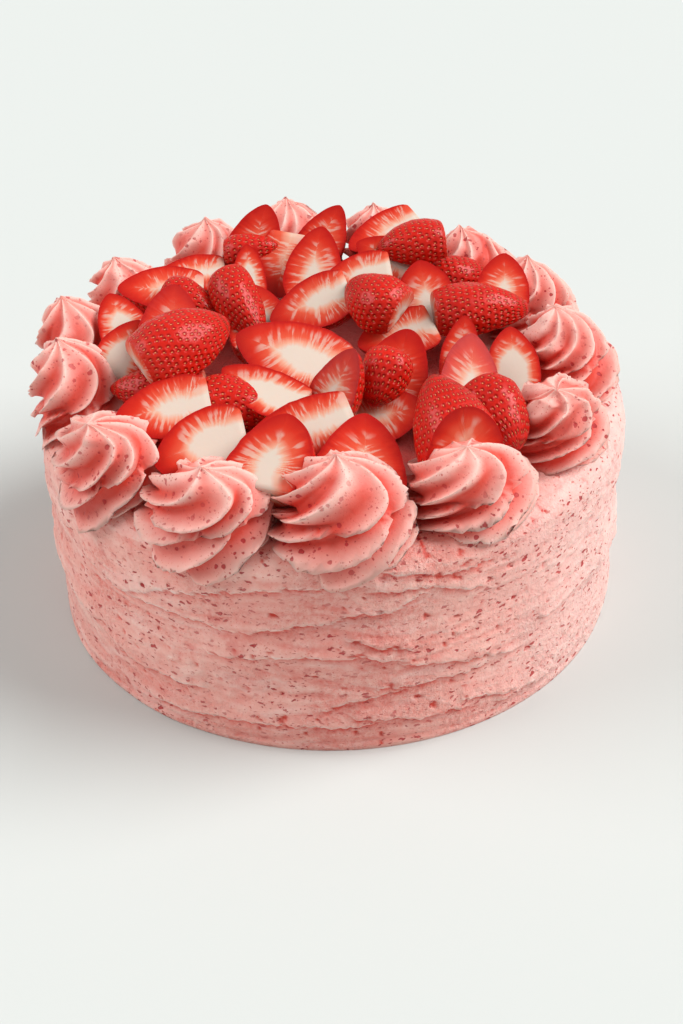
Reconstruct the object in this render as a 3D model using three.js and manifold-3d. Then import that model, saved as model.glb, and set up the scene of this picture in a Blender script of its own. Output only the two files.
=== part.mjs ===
// A round frosted cake with a ring of piped swirls on its rim and a heap of cut strawberries inside the ring.
// Millimetres, +Z up. The origin is the centre of the flat underside, and the front is towards -Y.
import * as THREE from "three";
import { mergeVertices } from "three/addons/utils/BufferGeometryUtils.js";
import Module from "manifold-3d";

const wasm = await Module();
wasm.setup();

const DEG = Math.PI / 180;

// The cake: 8-inch (203 mm) layers under 8 to 9 mm of frosting.
const CAKE_RADIUS = 110;
const CAKE_HEIGHT = 84;
const SHOULDER = 9; // how far the top edge is rounded over
const FOOT = 1.5; // how far the frosting draws in at the plate
const CAKE_SIDES = 60;
const SPREAD_DEPTH = 1.1; // relief left by the palette knife on the side

// The piped swirls.
const SWIRL_RIDGES = 8;
const SWIRL_RIDGE_DEPTH = 0.24; // share of the radius
const SWIRL_TWIST = 160 * DEG; // how far a ridge winds round from the peak to the foot
const SWIRL_OVERHANG = 1.5; // how steeply a skirt hangs down past the cake's side
const SINK = 1; // how far a swirl's underside reaches before the cake's top is taken away from it
const TOUCH_GAP = 0.3; // clearance between pieces that touch

// The strawberries.
const BERRY_SIDES = 10;
const BERRY_WIDEST = 0.3; // share of the length from the hulled end to the widest place
const BERRY_SHOULDER = 0.2; // how much narrower the hulled end is than the widest place
const CAP_DEPTH = 0.15; // share of the width that an outer slice lacks
const SLANT = 35; // degrees
const SLANT_START = 0.15; // share of the length at which a slanted cut leaves the berry's axis
const VIEWPOINT = [2, -485, 378]; // in front of the cake and above it
const VIEW_SLOPE = 36 * DEG;
const HEAP_LEVEL = CAKE_HEIGHT + 20;
const SLIDE_STEP = 2.5; // along the line of sight, when a piece looks for room
const SLIDE_STEPS = 7;
const BLOCKED = 0.25; // share of its volume at which a piece can't be pushed on through others

const finish = (colour, roughness) =>
  new THREE.MeshStandardMaterial({ color: new THREE.Color(...colour), roughness, metalness: 0 });
const frosting = finish([0.86, 0.5, 0.47], 0.55);
const pipedFrosting = finish([0.87, 0.48, 0.46], 0.5);
const strawberry = finish([0.78, 0.08, 0.05], 0.3);

// Height of the cake's top at a distance from its axis, with the rounded shoulder, and of a skirt that
// hangs past it.
function topHeight(radius) {
  const over = Math.max(0, Math.min(SHOULDER, radius - (CAKE_RADIUS - SHOULDER)));
  const past = Math.max(0, radius - CAKE_RADIUS);
  return CAKE_HEIGHT - SHOULDER + Math.sqrt(SHOULDER ** 2 - over ** 2) - SWIRL_OVERHANG * past;
}

function closed(geometry) {
  geometry.deleteAttribute("normal");
  geometry.deleteAttribute("uv");
  return mergeVertices(geometry, 1e-3);
}

// A lathed geometry stood up along +Z, with its seam and poles closed.
function turned(profile, sides) {
  const points = profile.map(([radius, height]) => new THREE.Vector2(radius, height));
  return closed(new THREE.LatheGeometry(points, sides).rotateX(Math.PI / 2));
}

// Moves every vertex of a geometry by a function of its position.
function shaped(geometry, move) {
  const position = geometry.getAttribute("position");
  const point = new THREE.Vector3();
  for (let i = 0; i < position.count; i++) {
    point.fromBufferAttribute(position, i);
    move(point);
    position.setXYZ(i, point.x, point.y, point.z);
  }
  return geometry;
}

const solidOf = (geometry) =>
  new wasm.Manifold(
    new wasm.Mesh({
      numProp: 3,
      vertProperties: new Float32Array(geometry.getAttribute("position").array),
      triVerts: new Uint32Array(geometry.index.array),
    }),
  );

function geometryOf(solid) {
  const mesh = solid.getMesh();
  const geometry = new THREE.BufferGeometry();
  geometry.setAttribute("position", new THREE.BufferAttribute(mesh.vertProperties, 3));
  geometry.setIndex(new THREE.BufferAttribute(mesh.triVerts, 1));
  return geometry;
}

const largest = (solid) => solid.decompose().sort((a, b) => b.volume() - a.volume())[0];

const below = (low, high) => low.every((value, i) => value < high[i]);
const boxesMeet = (a, b) => below(a.min, b.max) && below(b.min, a.max);

function sharedVolume(a, b) {
  return boxesMeet(a.boundingBox(), b.boundingBox()) ? a.intersect(b).volume() : 0;
}

// ---- The frosted cake ----

// Long shallow bands and dabs, as a palette knife leaves them.
function spreadRelief(angle, height) {
  const bands = Math.sin(height * 0.21 + 1.3 * Math.sin(angle * 2 + 0.7) + 0.6 * Math.sin(angle * 5));
  const dabs = Math.sin(angle * 9 + height * 0.11) * Math.sin(angle * 4 - height * 0.07);
  return SPREAD_DEPTH * (0.6 * bands + 0.5 * dabs);
}

// The cake's outside, or with a clearance the room that has to be kept free for it.
function frostedCake(clearance = 0) {
  const radius = CAKE_RADIUS + clearance;
  const profile = [
    [0, 0],
    [radius - FOOT, 0],
  ];
  const sideHeights = [5, 20, 35, 50, 63];
  for (const height of sideHeights) profile.push([radius, height]);
  const shoulderSteps = 4;
  for (let i = 0; i <= shoulderSteps; i++) {
    const turn = (i / shoulderSteps) * 90 * DEG;
    const out = radius - SHOULDER + SHOULDER * Math.cos(turn);
    profile.push([out, CAKE_HEIGHT + clearance - SHOULDER + SHOULDER * Math.sin(turn)]);
  }
  profile.push([0, CAKE_HEIGHT + clearance]);
  return shaped(turned(profile, CAKE_SIDES), (p) => {
    const height = p.z - clearance;
    const fade = Math.min(1, (CAKE_HEIGHT - height) / SHOULDER);
    if (p.z <= 0 || fade <= 0) return;
    const relief = spreadRelief(Math.atan2(p.y, p.x), Math.min(height, 63));
    const wider = 1 + (fade * relief) / Math.hypot(p.x, p.y);
    p.x *= wider;
    p.y *= wider;
  });
}

// ---- The piped swirls ----

// Outline of a swirl from foot to peak, as shares of its radius and height: a wide skirt, the upper turn
// and the tip.
const swirlOutline = [
  [0, 0],
  [0.9, 0],
  [1, 0.12],
  [1, 0.28],
  [0.9, 0.44],
  [0.8, 0.58],
  [0.63, 0.72],
  [0.4, 0.84],
  [0.16, 0.94],
  [0, 1],
];

// Each row: place round the ring (the front is at 270) and distance from the cake's axis, diameter along
// the ring and across it, height, how far the peak leans clockwise round the ring and outwards, and where
// its first ridge starts.
const swirls = [
  { at: 244, ring: 93, along: 52, across: 44, height: 27, lean: [-4, 8], start: 0 },
  { at: 271.5, ring: 92, along: 53, across: 44, height: 31, lean: [1, 0], start: 20 },
  { at: 299.5, ring: 89, along: 52, across: 43, height: 29, lean: [7, 7], start: 50 },
  { at: 331, ring: 86, along: 48, across: 43, height: 30, lean: [8, 6], start: 10 },
  { at: 0, ring: 87.5, along: 48, across: 42, height: 30, lean: [-3, -4], start: 75 },
  { at: 26, ring: 88, along: 44, across: 40, height: 29, lean: [-6, 0], start: 35 },
  { at: 48, ring: 90, along: 42, across: 41, height: 29, lean: [-8, 1], start: 60 },
  { at: 74, ring: 89, along: 43, across: 41, height: 31, lean: [-8, 5], start: 5 },
  { at: 99, ring: 91, along: 42, across: 40, height: 32, lean: [-2, 8], start: 25 },
  { at: 122.5, ring: 93, along: 42, across: 40, height: 31, lean: [3, 6], start: 80 },
  { at: 148, ring: 93.5, along: 42, across: 40, height: 30, lean: [0, 4], start: 45 },
  { at: 170, ring: 94, along: 41, across: 41, height: 30, lean: [1, 8], start: 15 },
  { at: 192, ring: 91.5, along: 43, across: 42, height: 31, lean: [8, 7], start: 55 },
  { at: 218, ring: 93.5, along: 48, across: 44, height: 31, lean: [-6, 11], start: 30 },
];

// Half the angle between a swirl and the next one, on each side along the ring.
function roomBeside(index) {
  const halfGap = (a, b) => (((b - a + 540) % 360) - 180) / 2;
  const here = swirls[index].at;
  const next = swirls[(index + 1) % swirls.length].at;
  const last = swirls[(index + swirls.length - 1) % swirls.length].at;
  return { after: halfGap(here, next) * DEG, before: halfGap(here, last) * DEG };
}

// A star-shaped rope of frosting wound up to a peak: each ridge runs from the foot round and up to the tip.
function pipedSwirl(index) {
  const { at, ring: middle, along, across, height, lean, start } = swirls[index];
  const room = roomBeside(index);
  return shaped(turned(swirlOutline, SWIRL_RIDGES * 2), (p) => {
    const share = Math.hypot(p.x, p.y);
    const level = Math.max(0, p.z);
    const column = Math.round((Math.atan2(p.y, p.x) / Math.PI) * SWIRL_RIDGES);
    const groove = column % 2 === 0 ? 0 : 1;
    const depth = SWIRL_RIDGE_DEPTH * Math.min(1, 0.3 + 5 * level) * Math.min(1, 1.6 * (1 - level) + 0.3);
    const turn = (column * Math.PI) / SWIRL_RIDGES + start * DEG - SWIRL_TWIST * (1 - level) ** 1.7;
    const radius = share * (1 - groove * depth);
    // clockwise along the ring, and outwards
    const swing = (along / 2) * radius * Math.cos(turn) + lean[0] * level ** 1.5;
    const outwards = (across / 2) * radius * Math.sin(turn) + lean[1] * level ** 1.5;
    const ring = middle + outwards;
    // neighbours flatten each other where they meet
    const edge = TOUCH_GAP / 2 / ring;
    const angle = Math.max(room.before + edge, Math.min(room.after - edge, -swing / middle));
    const droop = (topHeight(ring) - CAKE_HEIGHT) * (1 - level) ** 2;
    p.set(
      ring * Math.cos(at * DEG + angle),
      ring * Math.sin(at * DEG + angle),
      CAKE_HEIGHT - SINK * (1 - level) + level * height + droop,
    );
  });
}

// ---- The strawberries ----

// A box to cut with, from its lowest and highest corners.
function cutter(low, high) {
  const box = new THREE.BoxGeometry(...high.map((h, i) => h - low[i]));
  box.translate(...high.map((h, i) => (h + low[i]) / 2));
  return solidOf(closed(box));
}

// A strawberry with its hulled end at x = 0 and its tip at x = length, with a clearance added all round.
function wholeBerry(length, width, clearance) {
  const stations = [0, 0.12, 0.3, 0.52, 0.74, 0.9, 0.975];
  const from = -clearance;
  const full = length + 2 * clearance;
  const profile = [[0, from]];
  for (const t of stations) {
    const before = Math.max(0, (BERRY_WIDEST - t) / BERRY_WIDEST);
    const after = Math.max(0, (t - BERRY_WIDEST) / (1 - BERRY_WIDEST));
    const share = (1 - BERRY_SHOULDER * before ** 2) * (1 - after ** 1.8) ** 0.64;
    profile.push([(width / 2 + clearance) * share, from + t * full]);
  }
  profile.push([0, from + full]);
  return solidOf(turned(profile, BERRY_SIDES).rotateY(Math.PI / 2));
}

const FAR = 100;
const above = (level) => cutter([-FAR, -FAR, level], [FAR, FAR, FAR]);
const cuts = {
  // cut in half down its length
  half: (length, width, clearance) => above(clearance),
  // an outer slice, cut short of the heart
  cap: (length, width, clearance) => above(clearance - width * CAP_DEPTH),
  // cut at a slant, deeper at the hulled end
  slant: (length, width, clearance) =>
    above(clearance)
      .rotate([0, -SLANT, 0])
      .translate([length * SLANT_START, 0, 0]),
};

// Directions as they appear from in front of the cake and above it.
const eye = new THREE.Vector3(...VIEWPOINT);
const right = new THREE.Vector3(1, 0, 0);
const up = new THREE.Vector3(0, Math.sin(VIEW_SLOPE), Math.cos(VIEW_SLOPE));
const near = new THREE.Vector3(0, -Math.cos(VIEW_SLOPE), Math.sin(VIEW_SLOPE));

// The heap, from the back to the front. x and y say where the middle of the piece appears from the
// viewpoint, measured at HEAP_LEVEL, and level is its height above the cake's top. tip is the way its
// pointed end appears to point, anticlockwise from the right. face is how far its cut face is turned right
// and up from facing the viewpoint: with 180 its skin shows.
const berries = [
  { id: 16, x: -30, y: 79, level: 23, tip: 80, face: [-5, 14], length: 35, width: 25, cut: "half" },
  { id: 18, x: -2, y: 86, level: 23, tip: 62, face: [-10, 19], length: 29, width: 21, cut: "half" },
  { id: 32, x: 23, y: 86, level: 23, tip: 205, face: [0, 34], length: 33, width: 23, cut: "half" },
  { id: 11, x: -56, y: 54, level: 15, tip: 184, face: [0, 38], length: 29, width: 21, cut: "half" },
  { id: 17, x: -31, y: 73, level: 21, tip: 5, face: [170, -20], length: 22, width: 15, cut: "half" },
  { id: 36, x: 68, y: 40, level: 17, tip: 80, face: [0, 24], length: 26, width: 21, cut: "half" },
  { id: 35, x: 51, y: 45, level: 15, tip: 10, face: [180, -30], length: 22, width: 19, cut: "half" },
  { id: 34, x: 23, y: 67, level: 23, tip: 150, face: [0, 20], length: 25, width: 19, cut: "half" },
  { id: 33, x: 33, y: 73, level: 23, tip: 188, face: [180, -30], length: 27, width: 21, cut: "half" },
  { id: 21, x: -19, y: 62, level: 17, tip: 255, face: [0, 24], length: 33, width: 24, cut: "cap" },
  { id: 13, x: -32, y: 55, level: 17, tip: 95, face: [0, 24], length: 25, width: 14, cut: "half" },
  { id: 19, x: -6, y: 60, level: 23, tip: 84, face: [0, 19], length: 33, width: 23, cut: "half" },
  { id: 31, x: 27, y: 43, level: 17, tip: 72, face: [-10, 19], length: 26, width: 17, cut: "half" },
  { id: 20, x: 10, y: 49, level: 22, tip: 190, face: [-12, 29], length: 28, width: 21, cut: "half" },
  { id: 30, x: 37, y: 33, level: 21, tip: 98, face: [0, 22], length: 29, width: 25, cut: "half" },
  { id: 9, x: -66, y: 42, level: 15, tip: 176, face: [10, 38], length: 33, width: 26, cut: "half" },
  { id: 10, x: -53, y: 29, level: 17, tip: -30, face: [180, -35], length: 23, width: 17, cut: "half" },
  { id: 12, x: -34, y: 24, level: 21, tip: -65, face: [180, -25], length: 32, width: 19, cut: "half" },
  { id: 8, x: -79, y: 17, level: 15, tip: 110, face: [0, 34], length: 29, width: 19, cut: "half" },
  { id: 7, x: -76, y: -4, level: 13, tip: 70, face: [10, 24], length: 27, width: 19, cut: "half" },
  { id: 37, x: 57, y: 17, level: 19, tip: 4, face: [180, -35], length: 37, width: 24, cut: "half" },
  { id: 29, x: 24, y: 1, level: 19, tip: 198, face: [0, 29], length: 30, width: 22, cut: "half" },
  { id: 22, x: -8, y: 26, level: 20, tip: 200, face: [-18, 29], length: 32, width: 25, cut: "half" },
  { id: 23, x: 16, y: 26, level: 25, tip: 150, face: [180, -30], length: 25, width: 25, cut: "half" },
  { id: 15, x: -27, y: 18, level: 15, tip: 100, face: [10, 40], length: 36, width: 28, cut: "half" },
  { id: 6, x: -59, y: 11, level: 20, tip: 84, face: [15, 19], length: 35, width: 26, cut: "half" },
  { id: 40, x: 47, y: -13, level: 20, tip: 84, face: [0, 14], length: 28, width: 16, cut: "half" },
  { id: 39, x: 65, y: -20, level: 15, tip: 88, face: [0, 19], length: 27, width: 21, cut: "half" },
  { id: 27, x: 23, y: -20, level: 18, tip: 74, face: [-10, 19], length: 36, width: 28, cut: "cap" },
  { id: 4, x: -30, y: -49, level: 13, tip: -12, face: [180, -35], length: 32, width: 23, cut: "half" },
  { id: 3, x: -61, y: -35, level: 12, tip: 178, face: [180, -35], length: 34, width: 20, cut: "half" },
  { id: 25, x: -25, y: -34, level: 13, tip: 153, face: [0, 38], length: 33, width: 21, cut: "half" },
  { id: 41, x: 49, y: -31, level: 18, tip: 80, face: [22, 15], length: 34, width: 25, cut: "half" },
  { id: 42, x: 56, y: -59, level: 13, tip: -60, face: [170, -30], length: 28, width: 24, cut: "half" },
  { id: 44, x: 20, y: -50, level: 11, tip: 10, face: [0, 24], length: 28, width: 24, cut: "cap" },
  { id: 28, x: 18, y: -32, level: 20, tip: -110, face: [180, -20], length: 21, width: 19, cut: "half" },
  { id: 26, x: 2, y: -33, level: 17, tip: 60, face: [-40, 10], length: 27, width: 22, cut: "half" },
  { id: 5, x: -53, y: -4, level: 22, tip: 28, face: [175, -35], length: 37, width: 29, cut: "half" },
  { id: 24, x: -15, y: -11, level: 24, tip: 158, face: [10, 32], length: 41, width: 33, cut: "half" },
  { id: 2, x: -58, y: -47, level: 11, tip: 189, face: [0, 29], length: 33, width: 27, cut: "half" },
  { id: 46, x: -13, y: -63, level: 13, tip: 197, face: [0, 24], length: 42, width: 24, cut: "half" },
  { id: 45, x: 10, y: -80, level: 12, tip: 76, face: [5, 34], length: 37, width: 31, cut: "half" },
  { id: 47, x: -19, y: -74, level: 13, tip: 66, face: [-18, 34], length: 30, width: 31, cut: "half" },
  { id: 1, x: -44, y: -70, level: 14, tip: 190, face: [0, 26], length: 32, width: 31, cut: "half" },
  { id: 43, x: 40, y: -65, level: 18, tip: 106, face: [18, 14], length: 40, width: 30, cut: "slant" },
];

function turnedSo({ tip, face }) {
  const [sideways, upwards] = face.map((angle) => angle * DEG);
  const normal = new THREE.Vector3()
    .addScaledVector(near, Math.cos(upwards) * Math.cos(sideways))
    .addScaledVector(right, Math.cos(upwards) * Math.sin(sideways))
    .addScaledVector(up, Math.sin(upwards));
  const along = new THREE.Vector3()
    .addScaledVector(right, Math.cos(tip * DEG))
    .addScaledVector(up, Math.sin(tip * DEG));
  along.addScaledVector(near, -along.dot(normal) / near.dot(normal)).normalize();
  return new THREE.Matrix4().makeBasis(along, normal.clone().cross(along), normal);
}

// The cut piece, turned the way it lies, with the middle of its length at the origin.
function laid(berry, clearance = 0) {
  const { length, width, cut } = berry;
  const piece = wholeBerry(length, width, clearance).subtract(cuts[cut](length, width, clearance));
  const geometry = geometryOf(piece).translate(-length / 2, 0, 0);
  return solidOf(geometry.applyMatrix4(turnedSo(berry)));
}

// Moves a piece away from the viewpoint, over what lies there already, and finds the place near its own
// level where it shares least room.
function place(berry, fruit, piping) {
  const piece = laid(berry);
  const seen = new THREE.Vector3(berry.x, berry.y, HEAP_LEVEL);
  const away = seen.clone().sub(eye).normalize();
  const start = (CAKE_HEIGHT + berry.level - HEAP_LEVEL) / away.z;
  let best = { cost: Infinity };
  for (let step = -SLIDE_STEPS; step <= SLIDE_STEPS; step++) {
    const at = seen.clone().addScaledVector(away, start + SLIDE_STEP * step);
    const moved = piece.translate(at.toArray());
    if (moved.boundingBox().min[2] < CAKE_HEIGHT + TOUCH_GAP) continue;
    const inFruit = fruit.reduce((sum, other) => sum + sharedVolume(moved, other), 0);
    const inPiping = piping.reduce((sum, other) => sum + sharedVolume(moved, other), 0);
    const cost = (inFruit + 0.5 * inPiping) / piece.volume() + 0.005 * Math.abs(step);
    if (cost < best.cost) best = { cost, at };
    if (inFruit > BLOCKED * piece.volume()) break;
  }
  return best.at.toArray();
}

// ---- The whole ----

const cakeRoom = solidOf(frostedCake(TOUCH_GAP));
const piping = swirls.map((swirl, index) => largest(solidOf(pipedSwirl(index)).subtract(cakeRoom)));
const fruit = [];

// A piece dents what it is pressed into.
function dent(others, piece, room) {
  others.forEach((other, i) => {
    if (sharedVolume(other, piece) > 0) others[i] = largest(other.subtract(room));
  });
}

for (const berry of berries) {
  const at = place(berry, fruit, piping);
  const piece = laid(berry).translate(at);
  const room = laid(berry, TOUCH_GAP).translate(at);
  dent(fruit, piece, room);
  dent(piping, piece, room);
  fruit.push(piece);
}

const cake = new THREE.Group();

function add(name, geometry, material) {
  const mesh = new THREE.Mesh(geometry, material);
  mesh.name = name;
  cake.add(mesh);
}

add("frosted_cake", frostedCake(), frosting);
const numbered = (word, number) => `${word}_${String(number).padStart(2, "0")}`;
piping.forEach((solid, i) => add(numbered("swirl", i + 1), geometryOf(solid), pipedFrosting));
fruit.forEach((solid, i) => add(numbered("berry", berries[i].id), geometryOf(solid), strawberry));

export default cake;
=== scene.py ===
"""Dresses the strawberry cake: spread frosting, a ring of piped swirls, and the heap of cut strawberries."""
import math

import bpy
from bpy.props import FloatProperty, FloatVectorProperty, IntProperty, PointerProperty
from mathutils import Matrix, Vector, noise
from mathutils.kdtree import KDTree


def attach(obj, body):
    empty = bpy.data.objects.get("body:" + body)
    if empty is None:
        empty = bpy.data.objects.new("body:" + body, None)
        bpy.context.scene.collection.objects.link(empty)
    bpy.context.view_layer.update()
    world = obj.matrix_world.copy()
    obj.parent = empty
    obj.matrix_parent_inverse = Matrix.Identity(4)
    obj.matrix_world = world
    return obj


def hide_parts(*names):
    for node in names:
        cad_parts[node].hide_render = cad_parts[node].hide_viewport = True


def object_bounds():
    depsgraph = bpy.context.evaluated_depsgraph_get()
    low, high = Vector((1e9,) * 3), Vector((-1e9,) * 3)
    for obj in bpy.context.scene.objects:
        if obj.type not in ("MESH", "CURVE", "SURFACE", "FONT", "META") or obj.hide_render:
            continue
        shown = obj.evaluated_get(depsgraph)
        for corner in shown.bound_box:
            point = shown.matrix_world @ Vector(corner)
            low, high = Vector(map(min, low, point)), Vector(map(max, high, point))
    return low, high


bl_info = {
    "name": "Strawberry Cake",
    "version": (1, 0, 0),
    "blender": (4, 5, 0),
    "location": "View3D > Sidebar > Cake",
    "description": "Spreads the frosting, pipes the swirls and heaps the cut strawberries of a cake",
    "category": "Object",
}

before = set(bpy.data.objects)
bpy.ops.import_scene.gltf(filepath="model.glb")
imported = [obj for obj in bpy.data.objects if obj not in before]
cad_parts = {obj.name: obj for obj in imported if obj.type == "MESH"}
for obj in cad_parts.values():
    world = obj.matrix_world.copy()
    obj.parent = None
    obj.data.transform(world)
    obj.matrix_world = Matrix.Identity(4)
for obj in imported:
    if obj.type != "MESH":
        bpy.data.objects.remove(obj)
CAD_BOX = [list(corner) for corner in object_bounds()]

MM = 0.001
TAU = 2 * math.pi
GOLDEN = 0.618

# How far inside the box of the solids every dressed piece stays.
BOX_MARGIN = 0.1 * MM

# The cake, in millimetres.
CAKE_RADIUS = 110
CAKE_HEIGHT = 84
SHOULDER = 9
FOOT = 1.5
SWIRL_OVERHANG = 1.5
SINK = 1
TOUCH_GAP = 0.3

# The view that the heap was laid from. Each piece lies on its line of sight, a whole number of steps along.
VIEWPOINT = Vector((2, -485, 378))
VIEW_SLOPE = math.radians(36)
HEAP_LEVEL = CAKE_HEIGHT + 20
SLIDE_STEP = 2.5
SLIDE_STEPS = 7

# Shares of its length at which a strawberry's solid has its rows of corners, which tell its step.
CAD_STATIONS = (0, 0.12, 0.3, 0.52, 0.74, 0.9, 0.975)
CORNER_SLACK = 0.06
LEAST_CORNERS = 4

# A strawberry, in shares of its length, its width or its widest radius.
BERRY_WIDEST = 0.3
BERRY_SHOULDER = 0.2
CAP_DEPTH = 0.15
SLANT = math.radians(35)
SLANT_START = 0.15

# The flat end that it was hulled at: how far out its edge is, its outline, and how far along it reaches.
HULL_EDGE = 0.785
HULLED_END = ((0, 0), (0.2, 0), (0.5, 0), (0.74, 0.004), (HULL_EDGE, 0.014))
HULLED = 0.01

# How finely each form is modelled: rows from end to end, spokes round it, and later cuts of each face.
SIDE_ROWS = 18
SHOULDER_ROWS = 4
CAKE_SPOKES = 124
CAKE_CUTS = 4
SWIRL_ROWS = 62
SWIRL_SPOKES = 176
BERRY_ROWS = 34
BERRY_SPOKES = 60
FLESH_CUTS = 5

# The camera, which stands where the photograph was taken from. Its aim is in millimetres.
CAMERA_AIM = (2.3, 0, 24.3)
CAMERA_DISTANCE = 0.6
CAMERA_SLOPE = math.radians(36.12)
CAMERA_ROLL = math.radians(-1.5)
SENSOR_WIDTH = 36
NEAREST_SEEN = 0.01

# The floor's size in metres, and how broad each light is.
FLOOR_SIZE = 40
SUN_SPREAD = math.radians(40)

# Place round the ring in degrees, distance from the axis, size along the ring and across it, height, lean of
# the peak clockwise and outwards, where the first ridge starts in degrees, how strongly the peak is hooked
# over, and how far its folds went astray.
SWIRLS = (
    (244, 93, 52, 44, 27, -4, 8, 0, 0.3, 0.3),
    (271.5, 92, 53, 44, 31, 1, 0, 20, 0.2, 0.2),
    (299.5, 89, 52, 43, 29, 7, 7, 50, 0.5, 0.1),
    (331, 86, 48, 43, 30, 8, 6, 10, 0.8, 1.0),
    (0, 87.5, 48, 42, 30, -3, -4, 75, 0.4, 0.8),
    (26, 88, 44, 40, 29, -6, 0, 35, 0.3, 0.5),
    (48, 90, 42, 41, 29, -8, 1, 60, 0.5, 0.8),
    (74, 89, 43, 41, 31, -8, 5, 5, 0.2, 0.4),
    (99, 91, 42, 40, 32, -2, 8, 25, 0.4, 0.4),
    (122.5, 93, 42, 40, 31, 3, 6, 80, 0.6, 0.6),
    (148, 93.5, 42, 40, 30, 0, 4, 45, 0.5, 0.6),
    (170, 94, 41, 41, 30, 1, 8, 15, 0.3, 0.3),
    (192, 91.5, 43, 42, 31, 8, 7, 55, 0.4, 0.2),
    (218, 93.5, 48, 44, 31, -6, 11, 30, 0.6, 0.3),
)

# Layers that the palette knife left on the side: from and to in degrees round the cake, the height of the
# lower edge at either end, how much higher it is in between, and the thickness of the layer.
LAYERS = (
    (222, 278, 47, 73, 8, 1.3),
    (250, 284, 50, 64, 1, 1.5),
    (243, 284, 37, 39, 5, 1.7),
    (228, 281, 7, 13, 1, 1.3),
    (266, 284, 20, 26, 1, 1.4),
    (276, 299, 80, 74, -3, 1.2),
    (274, 298, 71, 61, 3, 1.2),
    (271, 287, 61, 68, -1, 1.3),
    (271, 284, 51, 44, 0, 1.6),
    (280, 305, 38, 27, 2, 1.6),
    (275, 300, 27, 27, 1, 1.3),
    (271, 296, 17, 11, -1, 1.6),
    (292, 306, 16, 9, 0, 1.2),
)

# How many such layers the rest of the side has, where they start, and how far round they go in degrees.
LAYERS_ROUND_THE_BACK = 34
BACK_START = 300
BACK_SPAN = 290
BACK_THICKNESS = 1.4

# The side: how high its long bands change, how far in its relief lies, and the most that it stands out.
BANDS_TOP = 63
RELIEF_INWARDS = 1.5
RELIEF_OUTWARDS = 0.5

# Rows of the cake's outline: the top of its foot, the first row of its side, and the rings of its top.
FOOT_RISE = 2
SIDE_START = 5
TOP_RINGS = (66, 33, 0)

# How hard the edge of a bit of fruit is, and how rough the wet coat of a strawberry.
SPECK_SHARPNESS = 14
COAT_ROUGHNESS = 0.08

# Outline of a swirl from foot to peak, as shares of its radius and height.
SWIRL_OUTLINE = (
    (0, 0),
    (0.9, 0),
    (1, 0.12),
    (1, 0.28),
    (0.9, 0.44),
    (0.8, 0.58),
    (0.63, 0.72),
    (0.4, 0.84),
    (0.16, 0.94),
    (0, 1),
)

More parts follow.
